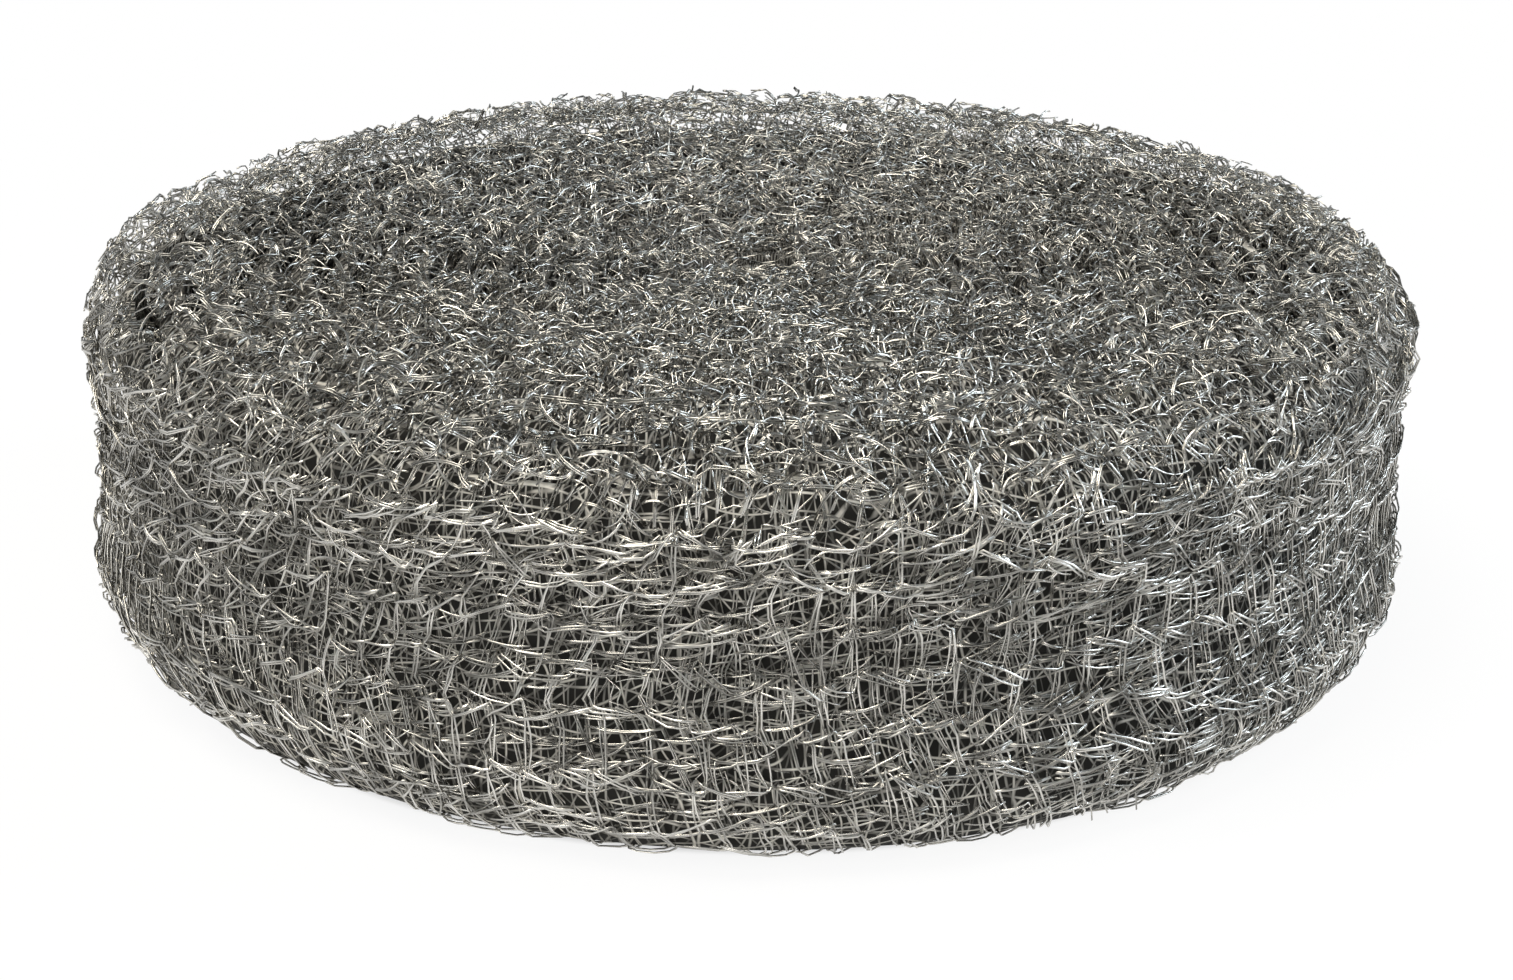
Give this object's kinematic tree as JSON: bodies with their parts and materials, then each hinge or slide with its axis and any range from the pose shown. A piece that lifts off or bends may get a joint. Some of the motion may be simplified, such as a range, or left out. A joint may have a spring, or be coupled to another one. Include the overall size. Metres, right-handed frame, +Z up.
{
  "type": "knitted steel mesh roll",
  "caption": "Soft flat roll of knitted stainless wire mesh tape, wound edge-on with a raised rim, a shallow dish and a narrow open core.",
  "frame": {"origin": "on the surface that the roll stands on, under the middle of its box", "axes": "+Z up along the roll's winding axis, -Y towards the viewer, with the tape's free end at the back left"},
  "size_m": [0.2, 0.1956, 0.059],
  "materials": {
    "knitted_steel": "satin"
  },
  "bodies": {
    "root": {"mesh_roll": "knitted_steel"}
  },
  "joints": []
}
